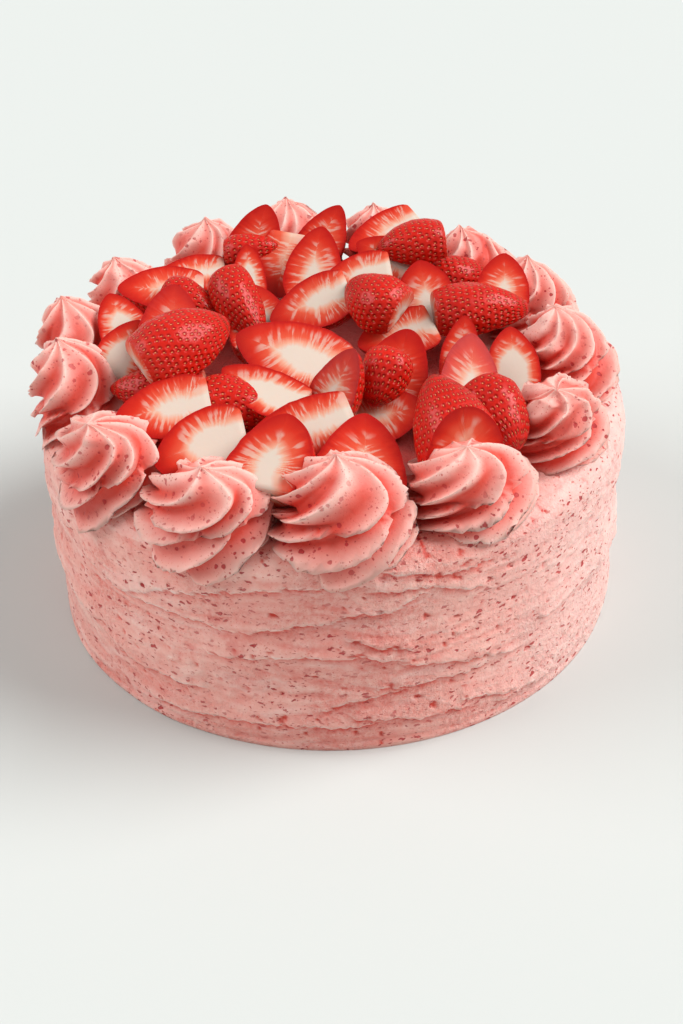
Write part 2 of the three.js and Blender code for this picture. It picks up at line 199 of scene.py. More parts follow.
# The heap, from the back to the front: number, where the middle of the piece appears from the viewpoint,
# level, the way the tip points, how far the cut face is turned right and up, length, width, cut, and how wide
# its white heart is as a share.
BERRIES = (
    (16, -30, 79, 23, 80, -5, 14, 35, 25, "half", 0.2),
    (18, -2, 86, 23, 62, -10, 19, 29, 21, "half", 0.3),
    (32, 23, 86, 23, 205, 0, 34, 33, 23, "half", 0.3),
    (11, -56, 54, 15, 184, 0, 38, 29, 21, "half", 0.35),
    (17, -31, 73, 21, 5, 170, -20, 22, 15, "half", 0.5),
    (36, 68, 40, 17, 80, 0, 24, 26, 21, "half", 0.4),
    (35, 51, 45, 15, 10, 180, -30, 22, 19, "half", 0.5),
    (34, 23, 67, 23, 150, 0, 20, 25, 19, "half", 0.6),
    (33, 33, 73, 23, 188, 180, -30, 27, 21, "half", 0.5),
    (21, -19, 62, 17, 255, 0, 24, 33, 24, "cap", 0.0),
    (13, -32, 55, 17, 95, 0, 24, 25, 14, "half", 0.7),
    (19, -6, 60, 23, 84, 0, 19, 33, 23, "half", 0.45),
    (31, 27, 43, 17, 72, -10, 19, 26, 17, "half", 0.6),
    (20, 10, 49, 22, 190, -12, 29, 28, 21, "half", 0.5),
    (30, 37, 33, 21, 98, 0, 22, 29, 25, "half", 0.45),
    (9, -66, 42, 15, 176, 10, 38, 33, 26, "half", 0.4),
    (10, -53, 29, 17, -30, 180, -35, 23, 17, "half", 0.5),
    (12, -34, 24, 21, -65, 180, -25, 32, 19, "half", 0.5),
    (8, -79, 17, 15, 110, 0, 34, 29, 19, "half", 0.75),
    (7, -76, -4, 13, 70, 10, 24, 27, 19, "half", 0.75),
    (37, 57, 17, 19, 4, 180, -35, 37, 24, "half", 0.5),
    (29, 24, 1, 19, 198, 0, 29, 30, 22, "half", 0.35),
    (22, -8, 26, 20, 200, -18, 29, 32, 25, "half", 0.5),
    (23, 16, 26, 25, 150, 180, -30, 25, 25, "half", 0.5),
    (15, -27, 18, 15, 100, 10, 40, 36, 28, "half", 0.7),
    (6, -59, 11, 20, 84, 15, 19, 35, 26, "half", 0.45),
    (40, 47, -13, 20, 84, 0, 14, 28, 16, "half", 0.6),
    (39, 65, -20, 15, 88, 0, 19, 27, 21, "half", 0.85),
    (27, 23, -20, 18, 74, -10, 19, 36, 28, "cap", 0.0),
    (4, -30, -49, 13, -12, 180, -35, 32, 23, "half", 0.5),
    (3, -61, -35, 12, 178, 180, -35, 34, 20, "half", 0.5),
    (25, -25, -34, 13, 153, 0, 38, 33, 21, "half", 0.75),
    (41, 49, -31, 18, 80, 22, 15, 34, 25, "half", 0.5),
    (42, 56, -59, 13, -60, 170, -30, 28, 24, "half", 0.5),
    (44, 20, -50, 11, 10, 0, 24, 28, 24, "cap", 0.3),
    (28, 18, -32, 20, -110, 180, -20, 21, 19, "half", 0.5),
    (26, 2, -33, 17, 60, -40, 10, 27, 22, "half", 0.35),
    (5, -53, -4, 22, 28, 175, -35, 37, 29, "half", 0.5),
    (24, -15, -11, 24, 158, 10, 32, 41, 33, "half", 0.65),
    (2, -58, -47, 11, 189, 0, 29, 33, 27, "half", 0.5),
    (46, -13, -63, 13, 197, 0, 24, 42, 24, "half", 0.45),
    (45, 10, -80, 12, 76, 5, 34, 37, 31, "half", 0.35),
    (47, -19, -74, 13, 66, -18, 34, 30, 31, "half", 0.5),
    (1, -44, -70, 14, 190, 0, 26, 32, 31, "half", 0.75),
    (43, 40, -65, 18, 106, 18, 14, 40, 30, "slant", 0.4),
)


# ---- Shapes shared with the solids ----


def top_height(radius):
    """Height of the cake's top, with its rounded shoulder, and of a skirt that hangs past it."""
    over = max(0, min(SHOULDER, radius - (CAKE_RADIUS - SHOULDER)))
    past = max(0, radius - CAKE_RADIUS)
    return CAKE_HEIGHT - SHOULDER + math.sqrt(SHOULDER**2 - over**2) - SWIRL_OVERHANG * past


def spread_relief(angle, height, depth):
    """Long shallow bands and dabs, as a palette knife leaves them."""
    bands = math.sin(height * 0.21 + 1.3 * math.sin(angle * 2 + 0.7) + 0.6 * math.sin(angle * 5))
    dabs = math.sin(angle * 9 + height * 0.11) * math.sin(angle * 4 - height * 0.07)
    return depth * (0.6 * bands + 0.5 * dabs)


def berry_share(t):
    """A strawberry's radius at t of its length from the hulled end, as a share of its widest."""
    before = max(0, (BERRY_WIDEST - t) / BERRY_WIDEST)
    after = max(0, (t - BERRY_WIDEST) / (1 - BERRY_WIDEST))
    return (1 - BERRY_SHOULDER * before**2) * (1 - min(1, after**1.8)) ** 0.64


def turned_so(tip, sideways, upwards):
    """The turn of a strawberry: its length, its width and the way its cut face looks, as columns."""
    right = Vector((1, 0, 0))
    up = Vector((0, math.sin(VIEW_SLOPE), math.cos(VIEW_SLOPE)))
    near = Vector((0, -math.cos(VIEW_SLOPE), math.sin(VIEW_SLOPE)))
    tip, sideways, upwards = (math.radians(v) for v in (tip, sideways, upwards))
    level = math.cos(upwards)
    normal = near * (level * math.cos(sideways)) + right * (level * math.sin(sideways))
    normal += up * math.sin(upwards)
    along = right * math.cos(tip) + up * math.sin(tip)
    along = (along - near * (along.dot(normal) / near.dot(normal))).normalized()
    return Matrix((along, normal.cross(along), normal)).transposed()


def seat(node, turn, x, y, level, length, width):
    """The middle of a strawberry: the step on its line of sight where its solid's corners fit its surface."""
    seen = Vector((x, y, HEAP_LEVEL))
    away = (seen - VIEWPOINT).normalized()
    start = (CAKE_HEIGHT + level - HEAP_LEVEL) / away.z
    corners = {tuple(round(c, 6) for c in v.co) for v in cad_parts[node].data.vertices}
    back = turn.transposed()
    best = (0, 0)
    for step in range(-SLIDE_STEPS, SLIDE_STEPS + 1):
        at = seen + away * (start + SLIDE_STEP * step)
        found = 0
        for corner in corners:
            local = back @ (Vector(corner) / MM - at)
            t = local.x / length + 0.5
            if any(abs(t - s) * length < CORNER_SLACK for s in CAD_STATIONS):
                off = math.hypot(local.y, local.z) - berry_share(t) * width / 2
                found += abs(off) < CORNER_SLACK
        best = max(best, (found, step))
    if best[0] < LEAST_CORNERS:
        raise RuntimeError(f"{node} was not found on its line of sight: {best}")
    return seen + away * (start + SLIDE_STEP * best[1])


def layered(layers, angle, height):
    """Thickness of the knife's layers at a place on the side, and how much it is a lip or just under one."""
    raised = lip = under = 0
    for start, end, low, high, arch, thick in layers:
        share = ((angle - start) % 360) / (end - start)
        if share >= 1:
            continue
        over = height - (low + (high - low) * share + 4 * arch * share * (1 - share))
        fade = smooth(0, 0.12, share) * smooth(1, 0.85, share)
        if over > 0:
            raised += thick * fade * smooth(0, 0.7, over) * math.exp(-over / 6)
            lip = max(lip, fade * math.exp(-over / 0.9))
        elif over > -3:
            under = max(under, fade * math.exp(over / 1.1))
    return raised, lip, under


def back_layers():
    """Layers like the ones in front, for the part of the side that the photograph doesn't show."""
    for i in range(LAYERS_ROUND_THE_BACK):
        start = BACK_START + BACK_SPAN * i / LAYERS_ROUND_THE_BACK
        end = start + 16 + (i * 13) % 30
        low = 8 + (i * 29) % 63
        rise = 8 * wave(i, 0.5, 0.2)
        arch = 3 * wave(i, 3.5, 0.7)
        yield start, end, low, low + rise, arch, BACK_THICKNESS


# ---- Modelling ----


def alone(piece):
    """Leaves one piece selected and active."""
    bpy.ops.object.select_all(action="DESELECT")
    piece.select_set(True)
    bpy.context.view_layer.objects.active = piece


def spun(name, outline, steps):
    """Spins an outline of (distance from the upright axis, height) round that axis, as a closed form."""
    bpy.ops.object.select_all(action="DESELECT")
    bpy.ops.mesh.primitive_plane_add(size=0.1)
    piece = bpy.context.object
    piece.name = piece.data.name = name
    bpy.ops.object.mode_set(mode="EDIT")
    bpy.ops.mesh.select_all(action="SELECT")
    bpy.ops.mesh.merge(type="CENTER")
    bpy.ops.transform.translate(value=(outline[0][0], 0, outline[0][1]))
    for (r0, z0), (r1, z1) in zip(outline, outline[1:]):
        bpy.ops.mesh.extrude_vertices_move(TRANSFORM_OT_translate={"value": (r1 - r0, 0, z1 - z0)})
    bpy.ops.mesh.select_all(action="SELECT")
    bpy.ops.mesh.spin(steps=steps, angle=TAU, center=(0, 0, 0), axis=(0, 0, 1))
    bpy.ops.mesh.select_all(action="SELECT")
    bpy.ops.mesh.remove_doubles(threshold=1e-5)
    bpy.ops.mesh.normals_make_consistent(inside=False)
    bpy.ops.object.mode_set(mode="OBJECT")
    return piece


def copied(model, name):
    """A copy of a modelled piece with a mesh of its own."""
    piece = model.copy()
    piece.data = model.data.copy()
    piece.name = piece.data.name = name
    bpy.context.scene.collection.objects.link(piece)
    return piece


def inside(place):
    """A place in metres, brought inside the box of the solids where it is a hair outside, but not lifted."""
    low, high = CAD_BOX
    kept_in = [min(far - BOX_MARGIN, c) for c, far in zip(place, high)]
    for axis in (0, 1):
        kept_in[axis] = max(low[axis] + BOX_MARGIN, kept_in[axis])
    return Vector(kept_in)


def moved(piece, move):
    """Puts each vertex where move says, in millimetres, and keeps the painted shade that it gives, high deep
    in a groove and low on a crest or lip.
    """
    layer = piece.data.attributes.new("hollow", "FLOAT", "POINT")
    painted_shades = []
    for v in piece.data.vertices:
        place, depth = move(v.co.copy())
        v.co = inside(place * MM)
        painted_shades.append(depth)
    layer.data.foreach_set("value", painted_shades)
    piece.data.update()


def smoothed(piece):
    """Shades a piece smoothly, except at its sharp edges."""
    alone(piece)
    bpy.ops.object.shade_smooth()


def dressed(piece, node, slot, *materials):
    """Hands a finished piece over in place of its solid."""
    for material in materials:
        piece.data.materials.append(material)
    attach(piece, "root")
    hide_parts(node)


def along_outline(outline, steps):
    """Evenly spaced points on an outline, with its corners softened."""
    points = [Vector(p) for p in outline]
    for _ in range(2):
        softer = [points[0]]
        for a, b in zip(points, points[1:]):
            softer += [a.lerp(b, 0.25), a.lerp(b, 0.75)]
        points = softer + [points[-1]]
    lengths = [(b - a).length for a, b in zip(points, points[1:])]
    total = sum(lengths)
    out = [points[0]]
    i = 0
    passed = 0
    for k in range(1, steps):
        goal = total * k / steps
        while passed + lengths[i] < goal:
            passed += lengths[i]
            i += 1
        out.append(points[i].lerp(points[i + 1], (goal - passed) / lengths[i]))
    return [tuple(p) for p in out + [points[-1]]]


def smooth(low, high, value):
    """0 up to low and 1 from high on, smoothly; low may be the larger."""
    share = max(0, min(1, (value - low) / (high - low)))
    return share * share * (3 - 2 * share)


def wave(x, y, z, seed=0):
    """Smooth noise about 0 that is the same on every run."""
    return noise.noise(Vector((x + 17.3 * seed, y - 9.1 * seed, z + 4.7 * seed)))


# ---- Shader maths ----


class Wire:
    """A value on a surface: it wraps a shader socket, and sums and products of it add their own nodes."""

    def __init__(self, tree, socket=None):
        self.tree = tree
        self.socket = socket

    def make(self, kind, settings=None, values=None, output=0):
        """Adds a node of a kind, with its settings first and then its sockets' values or links."""
        node = self.tree.nodes.new(kind)
        for name, value in (settings or {}).items():
            if name == "stops":
                ramp = node.color_ramp
                while len(ramp.elements) < len(value):
                    ramp.elements.new(0.5)
                for element, (place, colour) in zip(ramp.elements, value):
                    element.position = place
                    element.color = (*colour, 1)
            else:
                setattr(node, name, value)
        for name, value in (values or {}).items():
            if isinstance(value, Wire):
                self.tree.links.new(value.socket, node.inputs[name])
            else:
                node.inputs[name].default_value = value
        return Wire(self.tree, node.outputs[output])

    def also(self, output):
        """Another output of the node that this one comes from."""
        return Wire(self.tree, self.socket.node.outputs[output])

    def _maths(self, operation, other):
        return self.make("ShaderNodeMath", {"operation": operation}, {0: self, 1: other})

    def __add__(self, other):
        return self._maths("ADD", other)

    def __mul__(self, other):
        return self._maths("MULTIPLY", other)

    def __sub__(self, other):
        return self._maths("SUBTRACT", other)

    def __rsub__(self, other):
        return (self * -1) + other

    def __truediv__(self, other):
        return self._maths("DIVIDE", other)

    def __pow__(self, other):
        return self._maths("POWER", other)

    def most(self, other):
        return self._maths("MAXIMUM", other)

    def least(self, other):
        return self._maths("MINIMUM", other)

    def held(self):
        """This value, held between 0 and 1."""
        return self.most(0).least(1)

    def between(self, low, high):
        """0 at low and 1 at high, smoothly; low may be the larger."""
        if low > high:
            return 1 - self.between(high, low)
        settings = {"interpolation_type": "SMOOTHSTEP"}
        values = {"Value": self, "From Min": low, "From Max": high}
        return self.make("ShaderNodeMapRange", settings, values)

    def pick(self, first, second):
        """The first colour where this is 0 and the second where it is 1."""
        first, second = (c if isinstance(c, Wire) else (*c, 1) for c in (first, second))
        settings = {"data_type": "RGBA", "clamp_factor": True}
        # the node's colours are its sockets 6 and 7, and its mixed colour is output 2
        return self.make("ShaderNodeMix", settings, {0: self, 6: first, 7: second}, 2)

    def noise(self, scale, detail=2.0, roughness=0.5, distortion=0.0):
        values = {"Scale": scale, "Detail": detail, "Roughness": roughness, "Distortion": distortion}
        return self.make("ShaderNodeTexNoise", None, {"Vector": self, **values})

    def shaken(self, scale, reach):
        """This place moved about by noise, so that what is drawn there has ragged edges."""
        values = {"Vector": self, "Scale": scale, "Detail": 2.0}
        noisy = self.make("ShaderNodeTexNoise", None, values, "Color")
        values = {0: noisy, 1: (reach, reach, reach), 2: self}
        return self.make("ShaderNodeVectorMath", {"operation": "MULTIPLY_ADD"}, values)

    def stretched(self, scale):
        return self.make("ShaderNodeMapping", None, {"Vector": self, "Scale": scale})

    def parts(self):
        """The three numbers of a place or a colour."""
        first = self.make("ShaderNodeSeparateXYZ", None, {0: self})
        return [first.also(i) for i in range(3)]

    def from_axis(self):
        """How far this place is from the cake's upright axis."""
        right, away, _ = self.parts()
        return (right * right + away * away) ** 0.5


def finish_of(name, roughness, shine, depth, scatter, radius, coat=0.0):
    """A new material, the start of its wires, and its surface node with its constants.

    shine is how much it mirrors, and light goes in for depth metres, times radius for red, green and blue.
    """
    material = bpy.data.materials.new(name)
    material.use_nodes = True
    tree = material.node_tree
    surface = tree.nodes["Principled BSDF"]
    constants = {
        "Roughness": roughness,
        "Specular IOR Level": shine,
        "Subsurface Weight": scatter,
        "Subsurface Radius": radius,
        "Subsurface Scale": depth,
        "Coat Weight": coat,
        "Coat Roughness": COAT_ROUGHNESS,
    }
    for socket, value in constants.items():
        surface.inputs[socket].default_value = value
    return material, Wire(tree), surface


def joined(wire, surface, socket):
    wire.tree.links.new(wire.socket, surface.inputs[socket])


def kept(start, name, output="Fac"):
    """A value kept on the piece's own mesh."""
    return start.make("ShaderNodeAttribute", {"attribute_name": name}, None, output)


def place_of(start):
    """The place on the cake, in metres."""
    return start.make("ShaderNodeTexCoord", output="Object")


def bumped(start, height, distance, surface):
    """Raises a surface by a height, of which 1 is a distance in metres."""
    bump = start.make("ShaderNodeBump", None, {"Strength": 1.0, "Distance": distance, "Height": height})
    joined(bump, surface, "Normal")


def specks(start, place, apart, least, most, share):
    """1 inside a bit of fruit. apart, least and most are in metres; share is how many places have a bit."""
    distance = start.make("ShaderNodeTexVoronoi", {"feature": "F1"}, {"Vector": place, "Scale": 1 / apart})
    chance, size, _ = distance.also("Color").parts()
    reach = (size * (most - least) + least) * (1 / apart)
    bit = ((reach - distance) * SPECK_SHARPNESS + 0.5).held()
    return bit * chance.between(1 - share - 0.01, 1 - share)


def frosting_material(name, settings, piped):
    """Pink whipped frosting: paler on crests with painted light, deeper in grooves with painted shade, with
    bits of dried fruit and small pits.
    """
    material, start, surface = finish_of(
        name, roughness=0.5, shine=0.25, depth=0.0015, scatter=0.2, radius=(1.0, 0.4, 0.3))
    place = place_of(start)
    hollow = kept(start, "hollow")
    cloud = place.noise(32, 3, 0.55)
    grain = place.noise(260, 4, 0.65, 0.6)
    shade = hollow + (cloud - 0.5) * 0.35 + (grain - 0.5) * 0.2
    if not piped:
        crumbly = place.noise(30, 2, 0.5).between(0.4, 0.6) * 0.8 + 0.3
        crumb = place.noise(650, 3, 0.7)
        # cloud varies the tone; the fine grain and crumbs add painted shade in their pits and painted light
        # on their tops
        shade = shade + (cloud - 0.5) * 0.3 + (grain - 0.5) * 0.3 + (crumb - 0.5) * crumbly * 0.9
    # painted light towards the crest colour and painted shade towards the groove colour
    colour = shade.held().pick(settings.crest_colour, settings.groove_shade_colour)
    ragged = place.shaken(420, 0.0016 if piped else 0.0026)
    if not piped:
        ragged = ragged.stretched((0.75, 0.75, 1.7))
    stain = place.shaken(200, 0.004).noise(95, 3, 0.6).between(0.6, 0.74) * (0.25 if piped else 0.42)
    patches = place.noise(40, 2, 0.5).between(0.35, 0.6) * 0.6 + 0.4
    bits = specks(start, ragged, 0.0031, 0.0003, 0.001, 0.6) * patches
    crumbs = specks(start, ragged, 0.0018, 0.0002, 0.00048, 0.6) * patches
    dust = specks(start, ragged, 0.001, 0.0001, 0.00024, 0.65)
    colour = stain.pick(colour, settings.stain_colour)
    colour = (dust * 0.6).pick(colour, settings.stain_colour)
    colour = (crumbs * 0.7).pick(colour, settings.fleck_colour)
    colour = (bits * 0.85).pick(colour, settings.fleck_colour)
    if not piped:
        # pale streaks left by the knife, and painted light: paler on the right, where the main light falls,
        # and on the lips of its layers
        right, _, up = place.parts()
        smears = place.shaken(40, 0.02).stretched((22, 22, 150)).noise(1, 3, 0.6).between(0.5, 0.66) * 0.22
        rubbed_and_painted_light = ((right + (cloud - 0.5) * 0.05).between(0.03, 0.1) * 0.45).most(smears)
        rubbed_and_painted_light = rubbed_and_painted_light.most(hollow.between(0.1, 0.0) * 0.45)
        colour = (rubbed_and_painted_light - crumbs - bits).most(0).pick(colour, settings.rubbed_and_lit_colour)
        # stained by the fruit and darkened with painted shade on the top under the heap, which shows in the
        # gaps between the pieces
        juice_and_shade = place.from_axis().between(0.072, 0.058) * up.between(0.08, 0.0825) * 0.85
        colour = juice_and_shade.pick(colour, settings.juice_and_shade_colour)
    joined(colour, surface, "Base Color")
    height = grain * 0.5 + place.noise(900, 3, 0.6) * 0.15 - bits * 0.35 - crumbs * 0.2
    if not piped:
        strokes = place.shaken(50, 0.014).stretched((26, 26, 260)).noise(1, 3, 0.55, 0.4)
        height = height * 1.1 + strokes * 0.6 - crumb * crumbly * 0.9
    bumped(start, height, 0.0005 if piped else 0.0009, surface)
    joined(cloud * 0.25 + 0.36, surface, "Roughness")
    return material


def skin_material(settings):
    """Strawberry skin: wet and red, with a pale seed in each dimple, and paler towards the hulled end."""
    material, start, surface = finish_of(
        "strawberry_skin", roughness=0.3, shine=0.18, depth=0.001, scatter=0.06, radius=(1.0, 0.15, 0.08),
        coat=0.12)
    place = place_of(start)
    t, _, ripe = kept(start, "grown", "Vector").parts()
    u, v, _ = start.make("ShaderNodeUVMap", {"uv_map": "seeds"}, None, "UV").parts()
    lattice = start.make("ShaderNodeCombineXYZ", None, {0: u + v * 0.5, 1: v, 2: 0.0})
    kind = {"feature": "F1", "voronoi_dimensions": "2D"}
    values = {"Vector": lattice, "Scale": 1.0, "Randomness": 0.35}
    middle = start.make("ShaderNodeTexVoronoi", kind, values, "Position")
    off = start.make("ShaderNodeVectorMath", {"operation": "SUBTRACT"}, {0: lattice, 1: middle})
    across, along, _ = off.parts()
    across = across - along * 0.5
    distance = (across * across + along * along) ** 0.5
    grown_part = t.between(0.012, 0.05)
    seed = ((across * across * 3.2 + along * along) ** 0.5).between(0.17, 0.1) * grown_part
    dimple = distance.between(0.46, 0.1) * grown_part
    cloud = place.noise(85, 3, 0.6)
    fine = place.noise(520, 2, 0.5)
    deep = ((cloud - 0.4) * 1.6 * ripe).held()
    colour = deep.pick(settings.skin_colour, settings.ripe_colour)
    pale = (t.between(0.2, 0.02) * 0.55 + cloud.between(0.45, 0.3) * 0.35) * (1.3 - ripe)
    colour = pale.held().pick(colour, settings.rim_colour)
    # painted shade: the skin is darker in each dimple round a seed
    colour = (dimple * 0.3).pick(colour, settings.ripe_colour)
    colour = (seed * 0.8).pick(colour, settings.seed_colour)
    joined(colour, surface, "Base Color")
    bumped(start, 1 - dimple * 0.8 + seed * 0.4 + fine * 0.1, 0.0006, surface)
    joined(cloud * 0.25 + 0.2 + seed * 0.2, surface, "Roughness")
    return material


def flesh_material(settings):
    """A cut face: red under the skin, then orange, then the pale heart, with pale streaks across."""
    material, start, surface = finish_of(
        "strawberry_flesh", roughness=0.4, shine=0.08, depth=0.001, scatter=0.15, radius=(1.0, 0.4, 0.25),
        coat=0.03)
    place = place_of(start)
    t, heart, ripe = kept(start, "grown", "Vector").parts()
    along, deep, _ = kept(start, "cut", "Vector").parts()
    # each strawberry has streaks of its own, by its ripeness
    own = ripe * 40

    def streaks(apart, stretch, detail):
        """Lines square to the skin, so far apart along it, in millimetres."""
        ray = start.make("ShaderNodeCombineXYZ", None, {0: along * (1 / apart), 1: deep * stretch, 2: own})
        return ray.noise(1.0, detail, 0.5)

    broad = streaks(2.4, 1.2, 2)
    fine = streaks(1.05, 1.6, 1)
    blotch = place.noise(110, 3, 0.6)
    ring = 1.0 - heart * 0.66
    share = deep / ring + (broad - 0.5) * 0.35 + (fine - 0.5) * 0.3 + (blotch - 0.5) * 0.35
    share = (share + t.between(0.25, 0.0) * 0.3) * (1 - t.between(0.42, 0.95) * 0.6)
    stops = (
        (0.0, settings.edge_colour),
        (0.2, settings.rim_colour),
        (0.56, settings.under_colour),
        (0.81, settings.flesh_colour),
        (1.0, settings.heart_colour),
    )
    colour = start.make("ShaderNodeValToRGB", {"stops": stops}, {"Fac": share * 0.85})
    thread = fine.between(0.5, 0.64) * share.between(0.2, 0.55) * share.between(1.2, 0.85)
    colour = (thread * 0.45).pick(colour, settings.heart_colour)
    skin = deep.between(0.09, 0.02)
    colour = (skin * 0.85).pick(colour, settings.edge_colour)
    joined(colour, surface, "Base Color")
    bumped(start, blotch * 0.5 + fine * share.between(1.2, 0.6) * 0.5, 0.0004, surface)
    joined(blotch * 0.25 + 0.26, surface, "Roughness")
    return material


# ---- Settings ----


def colour_field(name, description, default):
    """A setting that holds a colour."""
    return FloatVectorProperty(
        name=name, description=description, default=default, subtype="COLOR", min=0, max=1)


def length_field(name, description, default):
    """A setting that holds a length, in metres."""
    return FloatProperty(
        name=name, description=description, default=default, subtype="DISTANCE", unit="LENGTH")


class FrostingSettings(bpy.types.PropertyGroup):
    spread_depth: length_field("Spread depth", "Depth of the bands that the palette knife leaves", 0.7 * MM)
    stroke_depth: length_field("Stroke depth", "Depth of the fine strokes and ledges", 0.7 * MM)
    crest_colour: colour_field("Crest colour", "Frosting where light reaches it", (0.90, 0.52, 0.45))
    # Painted shade: the colour of the frosting in its grooves, under the lips of its layers and in its pits.
    groove_shade_colour: colour_field("Groove colour", "Frosting deep in its grooves", (0.72, 0.075, 0.05))
    stain_colour: colour_field("Stain colour", "Frosting stained by fruit", (0.62, 0.06, 0.05))
    fleck_colour: colour_field("Fleck colour", "Bits of dried fruit", (0.46, 0.018, 0.025))
    # Also painted light: the pale colour on the right of the side and on the lips of its layers.
    rubbed_and_lit_colour: colour_field("Rubbed colour", "Frosting rubbed pale by the knife", (0.92, 0.74, 0.69))
    # Also painted shade: the dark top that shows in the gaps of the heap.
    juice_and_shade_colour: colour_field(
        "Juice colour", "Frosting soaked by the fruit that lies on it", (0.50, 0.035, 0.03))


class SwirlSettings(bpy.types.PropertyGroup):
    ridges: IntProperty(name="Ridges", description="Ridges of the star nozzle", default=8, min=4, max=12)
    ridge_depth: FloatProperty(
        name="Ridge depth", description="Depth of a groove, as a share of the radius", default=0.3,
        subtype="FACTOR")
    twist: FloatProperty(
        name="Twist", description="How far a ridge winds round", default=math.radians(160),
        subtype="ANGLE", unit="ROTATION")


class StrawberrySettings(bpy.types.PropertyGroup):
    seed_spacing: length_field("Seed spacing", "Distance between seeds", 2.4 * MM)
    skin_colour: colour_field("Skin colour", "Skin of a strawberry", (0.62, 0.012, 0.005))
    ripe_colour: colour_field("Ripe colour", "Darkest skin", (0.30, 0.004, 0.003))
    seed_colour: colour_field("Seed colour", "Seeds", (0.92, 0.44, 0.16))
    edge_colour: colour_field("Edge colour", "Skin seen edge-on round a cut", (0.42, 0.009, 0.007))
    rim_colour: colour_field("Rim colour", "Flesh just under the skin", (0.57, 0.026, 0.012))
    under_colour: colour_field("Outer flesh colour", "Flesh of the red ring", (0.66, 0.09, 0.045))
    flesh_colour: colour_field("Inner flesh colour", "Flesh between ring and heart", (0.70, 0.33, 0.225))
    heart_colour: colour_field("Heart colour", "The pale heart", (0.64, 0.53, 0.445))


class StageSettings(bpy.types.PropertyGroup):
    floor_colour: colour_field("Floor colour", "The plain floor", (0.58, 0.60, 0.58))
    daylight: FloatProperty(name="Daylight", description="Light from all round", default=0.4, min=0)
    window: FloatProperty(name="Window", description="Strength of the main soft light", default=3.4, min=0)
    fill: FloatProperty(name="Fill", description="Strength of the light from the left", default=1.6, min=0)
    lens: FloatProperty(name="Lens", description="Focal length", default=52.84, subtype="DISTANCE_CAMERA")


# ---- The pieces ----


class CAKE_OT_spread_frosting(bpy.types.Operator):
    """Spreads the frosting over the cake's side, shoulder and top"""

    bl_idname = "cake.spread_frosting"
    bl_label = "Spread frosting"

    def execute(self, context):
        settings = context.scene.frosting
        depth = settings.spread_depth / MM
        fine = settings.stroke_depth / MM
        layers = (*LAYERS, *back_layers())
        piece = spun("cake_frosting", self.outline(), CAKE_SPOKES)
        bpy.ops.object.mode_set(mode="EDIT")
        bpy.ops.mesh.subdivide(number_cuts=CAKE_CUTS)
        bpy.ops.object.mode_set(mode="OBJECT")

        def spread(p):
            radius, height = math.hypot(p.x, p.y), p.z
            if height <= 0 or radius < 1e-6:
                return p, 0.3
            angle = math.atan2(p.y, p.x)
            side = min(1, (CAKE_HEIGHT - height) / SHOULDER)
            low = min(height, BANDS_TOP)
            x, y = CAKE_RADIUS * math.cos(angle), CAKE_RADIUS * math.sin(angle)
            ragged = 1.8 * wave(x / 9, y / 9, height / 30, 9) + 1.3 * wave(x / 2.5, y / 2.5, height / 8, 10)
            raised, lip, under = layered(layers, math.degrees(angle) % 360, height + ragged)
            drift = 8 * wave(x / 60, y / 60, height / 25)
            strokes = wave(x / 34, y / 34, (height + drift) / 2.6, 1)
            crumbly = smooth(-0.15, 0.4, wave(x / 40, y / 40, height / 30, 5))
            rough = wave(x / 4, y / 4, height / 3, 4) * crumbly
            pit = smooth(0.5, 0.66, wave(x / 3.1, y / 3.1, height / 2.6, 6))
            relief = fine * (0.5 * strokes + 0.7 * rough - 1.3 * pit) + raised - RELIEF_INWARDS
            relief *= smooth(0, 4, height)
            place = p.copy()
            out = 1 + side * min(RELIEF_OUTWARDS, spread_relief(angle, low, depth) + relief) / radius
            place.x *= out
            place.y *= out
            if side < 1:
                lift = 0.5 * wave(p.x / 14, p.y / 14, 0, 7) + 0.25 * wave(p.x / 5, p.y / 5, 0, 8) - 0.3
                place.z += (1 - side) * lift
            # painted shade under the lips of the layers, in pits and in the troughs of strokes and crumbs,
            # and painted light on the lips
            hollow = 0.34 - 0.25 * strokes - 0.7 * lip + 0.75 * under + 0.9 * pit - 0.25 * rough
            return place, max(0, min(1, hollow))

        moved(piece, spread)
        smoothed(piece)
        dressed(piece, "frosted_cake", "frosting", frosting_material("spread_frosting", settings, False))
        return {"FINISHED"}

    def outline(self):
        """Half of the cake's section: its underside, foot, side, rounded shoulder and top."""
        points = [(0, 0), (CAKE_RADIUS - FOOT, 0), (CAKE_RADIUS - FOOT / 3, FOOT_RISE)]
        shoulder = CAKE_HEIGHT - SHOULDER
        for i in range(SIDE_ROWS):
            points.append((CAKE_RADIUS, SIDE_START + (shoulder - SIDE_START) * i / SIDE_ROWS))
        for i in range(SHOULDER_ROWS + 1):
            turn = math.radians(90 * i / SHOULDER_ROWS)
            radius = CAKE_RADIUS - SHOULDER + SHOULDER * math.cos(turn)
            points.append((radius, shoulder + SHOULDER * math.sin(turn)))
        return points + [(radius, CAKE_HEIGHT) for radius in TOP_RINGS]


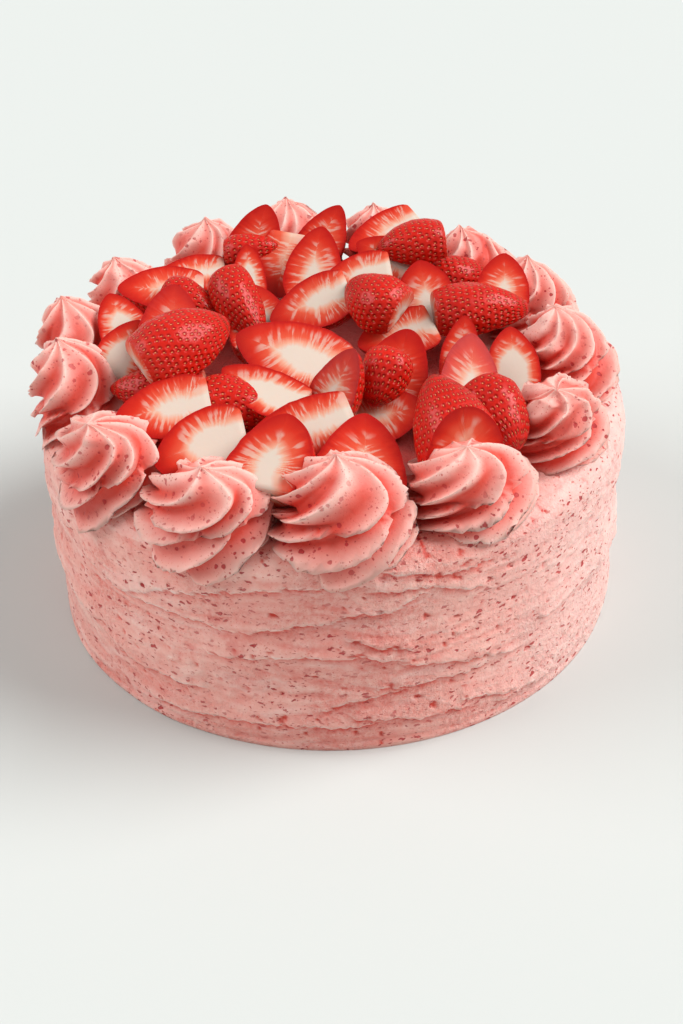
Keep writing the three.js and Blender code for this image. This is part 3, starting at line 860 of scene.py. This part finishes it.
class CAKE_OT_pipe_swirls(bpy.types.Operator):
    """Pipes the ring of swirls round the cake's top edge"""

    bl_idname = "cake.pipe_swirls"
    bl_label = "Pipe swirls"

    def execute(self, context):
        settings = context.scene.swirls
        material = frosting_material("piped_frosting", context.scene.frosting, True)
        model = spun("swirl_model", along_outline(SWIRL_OUTLINE, SWIRL_ROWS), SWIRL_SPOKES)
        for number in range(len(SWIRLS)):
            piece = copied(model, f"piped_swirl_{number + 1:02d}")
            moved(piece, self.swirl(number, settings))
            smoothed(piece)
            dressed(piece, f"swirl_{number + 1:02d}", "piped_frosting", material)
        bpy.data.objects.remove(model)
        return {"FINISHED"}

    def swirl(self, number, settings):
        """The move that makes one swirl of the plain model, whose radius and height are 1."""
        at, middle, along, across, height, clockwise, outward, start, hook, astray = SWIRLS[number]

        def half_gap(other):
            """Half of the way round to another swirl, in radians."""
            return math.radians((((SWIRLS[other][0] - SWIRLS[number][0] + 540) % 360) - 180) / 2)

        after = half_gap((number + 1) % len(SWIRLS))
        before = half_gap(number - 1)
        at = math.radians(at)
        start = math.radians(start)
        ridges = settings.ridges
        # the grooves differ in depth, and one of them is the deepest
        weights = [1 + 0.3 * wave(i * 1.7, number * 2.3, 0.5) for i in range(ridges)]
        weights[number % ridges] = 1.4

        def pipe(p):
            share = math.hypot(p.x, p.y)
            level = max(0, p.z)
            around = math.atan2(p.y, p.x) % TAU
            x, y = math.cos(around), math.sin(around)
            # the rope goes round once below and once above, and the ridges of the two turns don't meet
            coil = 0.26 + 0.26 * ((around + number) % TAU) / TAU
            upper = smooth(coil - 0.03, coil + 0.03, level)
            phase = around / TAU * ridges + 0.4 * (1 - upper)
            phase += (0.25 + 0.6 * astray) * wave(x * 1.2, y * 1.2, level * 2, number)
            nearest = int(phase) % ridges
            part = (phase % 1) ** 1.3
            groove = math.sin(math.pi * part) ** 0.6
            crest = (1 - groove) ** 2
            strength = min(1, 0.3 + 5 * level) * min(1, 1.6 * (1 - level) + 0.3)
            wind = settings.twist * (1 - level) ** 1.7 + 0.12 * wave(level * 3, number, around / 2)
            turn = around + start - wind
            radius = share * (1 - settings.ridge_depth * strength * min(1.25, weights[nearest] * groove))
            radius *= 1 - 0.1 * math.exp(-(((level - coil) / 0.05) ** 2)) * strength
            radius *= 1 + (0.03 + 0.07 * astray) * wave(p.x * 3, p.y * 3, level * 4, number + 3)
            radius *= 1 - 0.55 * smooth(0.86, 0.97, level)
            swing = along / 2 * radius * math.cos(turn) + clockwise * level**1.5
            outwards = across / 2 * radius * math.sin(turn) + outward * level**1.5
            bend = hook * max(0, level - 0.8) * 22
            swing += bend * math.cos(start * 3)
            outwards += bend * math.sin(start * 3)
            ring = middle + outwards
            edge = TOUCH_GAP / 2 / ring
            angle = max(before + edge, min(after - edge, -swing / middle))
            droop = (top_height(ring) - CAKE_HEIGHT) * (1 - level) ** 2
            rise = level * height - 0.8 * bend * (level > 0.95) * (level - 0.95) * 8
            rise += (1.2 * crest - 0.5) * strength * smooth(0, 0.2, level)
            rise += 2.2 * astray * wave(p.x * 4, p.y * 4, level * 3, number + 9) * smooth(0.25, 0.6, level)
            z = CAKE_HEIGHT - SINK * (1 - level) + min(rise, height) + droop
            place = Vector((ring * math.cos(at + angle), ring * math.sin(at + angle), z))
            # painted shade deep in the grooves, at the seam between the two turns and towards the foot, and
            # painted light on the crests
            deep = groove * weights[nearest] * min(1, strength * 1.3) * 0.9 - crest * 0.4
            deep += 0.5 * math.exp(-(((level - coil) / 0.04) ** 2)) + 0.2 * (1 - level)
            return place, max(0, min(1, deep))

        return pipe


class CAKE_OT_heap_strawberries(bpy.types.Operator):
    """Heaps the cut strawberries inside the ring of swirls"""

    bl_idname = "cake.heap_strawberries"
    bl_label = "Heap strawberries"

    def execute(self, context):
        settings = context.scene.strawberries
        skin = skin_material(settings)
        flesh = flesh_material(settings)
        outline = list(HULLED_END)
        for i in range(1, BERRY_ROWS):
            t = 0.02 + 0.98 * math.sin(math.pi / 2 * i / BERRY_ROWS) ** 1.15
            outline.append((berry_share(t), t))
        model = spun("strawberry_model", outline + [(0, 1)], BERRY_SPOKES)
        for row in BERRIES:
            self.lay(model, row, settings.seed_spacing / MM, skin, flesh)
        bpy.data.objects.remove(model)
        return {"FINISHED"}

    def cut(self, piece, length, width, kind):
        """Slices the whole strawberry, and returns a point on the cut face and the way the face looks."""
        point = Vector((0, 0, 0))
        normal = Vector((0, 0, 1))
        if kind == "cap":
            point.z = -CAP_DEPTH * width
        if kind == "slant":
            point.x = SLANT_START * length
            normal = Vector((-math.sin(SLANT), 0, math.cos(SLANT)))
        alone(piece)
        bpy.ops.object.mode_set(mode="EDIT")
        bpy.ops.mesh.select_all(action="SELECT")
        bpy.ops.mesh.normals_make_consistent(inside=False)
        bpy.ops.mesh.bisect(plane_co=point, plane_no=normal, use_fill=True, clear_outer=True)
        bpy.ops.object.mode_set(mode="OBJECT")
        self.pick_cut(piece, point, normal)
        bpy.ops.object.mode_set(mode="EDIT")
        bpy.ops.mesh.poke()
        bpy.ops.mesh.subdivide(number_cuts=FLESH_CUTS)
        bpy.ops.object.mode_set(mode="OBJECT")
        return point, normal

    def pick_cut(self, piece, point, normal):
        """Selects the faces of the cut, and gives them the flesh."""
        bpy.ops.object.mode_set(mode="EDIT")
        bpy.ops.mesh.select_mode(type="FACE")
        bpy.ops.mesh.select_all(action="DESELECT")
        bpy.ops.object.mode_set(mode="OBJECT")
        for face in piece.data.polygons:
            flush = abs((face.center - point).dot(normal)) < 0.02
            on_cut = face.normal.dot(normal) > 0.99 and flush
            face.select = on_cut
            face.material_index = int(on_cut)

    def lay(self, model, row, spacing, skin, flesh):
        """Cuts a strawberry from the model and lays it where its solid is. spacing is that of its seeds."""
        number, x, y, level, tip, sideways, upwards, length, width, kind, heart = row
        node = f"berry_{number:02d}"
        piece = copied(model, f"strawberry_{number:02d}")
        mesh = piece.data
        mesh.materials.append(skin)
        mesh.materials.append(flesh)
        for v in mesh.vertices:
            v.co = Vector((v.co.z * length, v.co.x * width / 2, v.co.y * width / 2))
        point, normal = self.cut(piece, length, width, kind)
        self.grow(piece, number, length, width, heart, spacing, point, normal)
        turn = turned_so(tip, sideways, upwards)
        at = seat(node, turn, x, y, level, length, width)
        middle = Vector((length / 2, 0, 0))
        for v in mesh.vertices:
            v.co = inside((at + turn @ (v.co - middle)) * MM)
        mesh.update()
        smoothed(piece)
        self.crisp(piece)
        dressed(piece, node, "strawberry")

    def crisp(self, piece):
        """Keeps the edge of the cut sharp."""
        mesh = piece.data
        sides = {}
        for face in mesh.polygons:
            for key in face.edge_keys:
                sides.setdefault(key, set()).add(face.material_index)
        for edge in mesh.edges:
            edge.use_edge_sharp = len(sides.get(edge.key, ())) == 2

    def grow(self, piece, number, length, width, heart, spacing, point, normal):
        """Gives the cut piece its uneven shape, and keeps what its finish needs to know."""
        mesh = piece.data
        faces = mesh.polygons
        on_cut = {i for face in faces if face.material_index == 1 for i in face.vertices}
        on_skin = {i for face in faces if face.material_index == 0 for i in face.vertices}
        hulled = {i for face in faces if face.center.x < HULLED * length for i in face.vertices} - on_cut
        # the line of skin round the cut, apart from where it crosses the hulled end
        skin_line = [mesh.vertices[i].co.copy() for i in on_cut & on_skin]
        skin_line = [place for place in skin_line if place.x > 0.04 * length]
        nearest = KDTree(len(skin_line))
        for i, place in enumerate(skin_line):
            nearest.insert(place, i)
        nearest.balance()
        grown = mesh.attributes.new("grown", "FLOAT_VECTOR", "POINT")
        cut = mesh.attributes.new("cut", "FLOAT_VECTOR", "POINT")
        ripe = 0.35 + 0.65 * (number * GOLDEN % 1)
        angles = []
        for i, v in enumerate(mesh.vertices):
            t = v.co.x / length
            grown.data[i].vector = (t, heart, ripe)
            angles.append(math.atan2(v.co.y, -v.co.z))
            if i in on_cut:
                place, _, far = nearest.find(v.co)
                along = place.x * (1 if place.y > 0 else -1) + 0.6 * place.y
                cut.data[i].vector = (along, far / (width / 2), 0)
            if i in hulled:
                far = HULL_EDGE - math.hypot(v.co.y, v.co.z) / (width / 2)
                cut.data[i].vector = (angles[i] * width / 2, 0.12 + max(0, far), 0)
        layer = mesh.uv_layers.new(name="seeds")
        seeds_round = max(8, round(math.pi * width / spacing))
        for face in faces:
            turns = [angles[mesh.loops[k].vertex_index] for k in face.loop_indices]
            for k, turn in zip(face.loop_indices, turns):
                if turn < 0 and max(turns) - min(turns) > math.pi:
                    turn += TAU
                t = mesh.vertices[mesh.loops[k].vertex_index].co.x / length
                layer.data[k].uv = (turn / TAU * seeds_round, t * length / spacing)
        for face in faces:
            if face.center.x < HULLED * length:
                face.material_index = 1
        lean = 0.09 * width * wave(number * 1.9, 0.4, 2.2)
        for i, v in enumerate(mesh.vertices):
            t = v.co.x / length
            radius = max(1e-6, math.hypot(v.co.y, v.co.z))
            y, z = v.co.y / radius, v.co.z / radius
            swell = 0.09 * wave(t * 1.8, y, z, number) + 0.035 * wave(t * 6, 2.2 * y, 2.2 * z, number + 5)
            swell += 0.012 * wave(t * 18, 9 * y, 9 * z, number + 8)
            grow = 1 + swell * smooth(0, 0.08, t) - 0.03
            v.co.y = v.co.y * grow + lean * 4 * (t - 0.35) ** 2
            if i not in on_cut:
                base = min(0, point.z + (v.co.x - point.x) * -normal.x / normal.z)
                v.co.z = base + (v.co.z - base) * grow if v.co.z < base else v.co.z


# ---- The stage ----


class CAKE_OT_set_stage(bpy.types.Operator):
    """Sets the floor, the soft lights and the camera"""

    bl_idname = "cake.set_stage"
    bl_label = "Set stage"

    def execute(self, context):
        settings = context.scene.stage
        bpy.ops.object.select_all(action="DESELECT")
        bpy.ops.mesh.primitive_plane_add(size=FLOOR_SIZE, location=(0, 0, 0))
        floor = context.object
        floor.name = floor.data.name = "floor"
        material = bpy.data.materials.new("plain_floor")
        material.use_nodes = True
        surface = material.node_tree.nodes["Principled BSDF"]
        surface.inputs["Base Color"].default_value = (*settings.floor_colour, 1)
        surface.inputs["Roughness"].default_value = 0.9
        floor.data.materials.append(material)
        world = context.scene.world or bpy.data.worlds.new("daylight")
        context.scene.world = world
        world.use_nodes = True
        background = world.node_tree.nodes["Background"]
        background.inputs["Color"].default_value = (0.97, 1.0, 0.99, 1)
        background.inputs["Strength"].default_value = settings.daylight
        self.light("window", settings.window, (0.68, 0.02, 0.7))
        self.light("fill", settings.fill, (-0.8, -0.02, 0.6))
        context.scene.view_settings.view_transform = "Standard"
        self.camera(context, settings.lens)
        return {"FINISHED"}

    def light(self, name, strength, place):
        """A broad light that is as strong everywhere, from the side that place is on."""
        data = bpy.data.lights.new(name, "SUN")
        data.energy = strength
        data.angle = SUN_SPREAD
        light = bpy.data.objects.new(name, data)
        bpy.context.scene.collection.objects.link(light)
        light.location = place
        light.rotation_euler = (-Vector(place)).to_track_quat("-Z", "Y").to_euler()

    def camera(self, context, lens):
        """The photograph's view: 36 degrees down from in front, turned a little."""
        away = Vector((0, math.cos(CAMERA_SLOPE), -math.sin(CAMERA_SLOPE)))
        right = Vector((1, 0, 0))
        up = right.cross(away)
        side = right * math.cos(CAMERA_ROLL) + up * math.sin(CAMERA_ROLL)
        head = up * math.cos(CAMERA_ROLL) - right * math.sin(CAMERA_ROLL)
        place = Vector(CAMERA_AIM) * MM - away * CAMERA_DISTANCE
        data = bpy.data.cameras.new("camera")
        data.lens = lens
        data.sensor_width = SENSOR_WIDTH
        data.clip_start = NEAREST_SEEN
        camera = bpy.data.objects.new("camera", data)
        context.scene.collection.objects.link(camera)
        turn = Matrix((side, head, -away)).transposed().to_4x4()
        camera.matrix_world = Matrix.Translation(place) @ turn
        context.scene.camera = camera


# ---- Panel and registration ----


class CAKE_PT_panel(bpy.types.Panel):
    bl_label = "Strawberry cake"
    bl_idname = "CAKE_PT_panel"
    bl_space_type = "VIEW_3D"
    bl_region_type = "UI"
    bl_category = "Cake"

    def draw(self, context):
        for group, operator in STEPS:
            box = self.layout.box()
            settings = getattr(context.scene, group)
            for name in settings.__annotations__:
                box.prop(settings, name)
            box.operator(operator.bl_idname)


STEPS = (
    ("frosting", CAKE_OT_spread_frosting),
    ("swirls", CAKE_OT_pipe_swirls),
    ("strawberries", CAKE_OT_heap_strawberries),
    ("stage", CAKE_OT_set_stage),
)
GROUPS = {
    "frosting": FrostingSettings,
    "swirls": SwirlSettings,
    "strawberries": StrawberrySettings,
    "stage": StageSettings,
}


def register():
    for name, group in GROUPS.items():
        bpy.utils.register_class(group)
        setattr(bpy.types.Scene, name, PointerProperty(type=group))
    for _, operator in STEPS:
        bpy.utils.register_class(operator)
    bpy.utils.register_class(CAKE_PT_panel)


def unregister():
    bpy.utils.unregister_class(CAKE_PT_panel)
    for _, operator in STEPS:
        bpy.utils.unregister_class(operator)
    for name, group in GROUPS.items():
        delattr(bpy.types.Scene, name)
        bpy.utils.unregister_class(group)


def main():
    register()
    bpy.ops.cake.spread_frosting()
    bpy.ops.cake.pipe_swirls()
    bpy.ops.cake.heap_strawberries()
    bpy.ops.cake.set_stage()


if __name__ == "__main__":
    main()
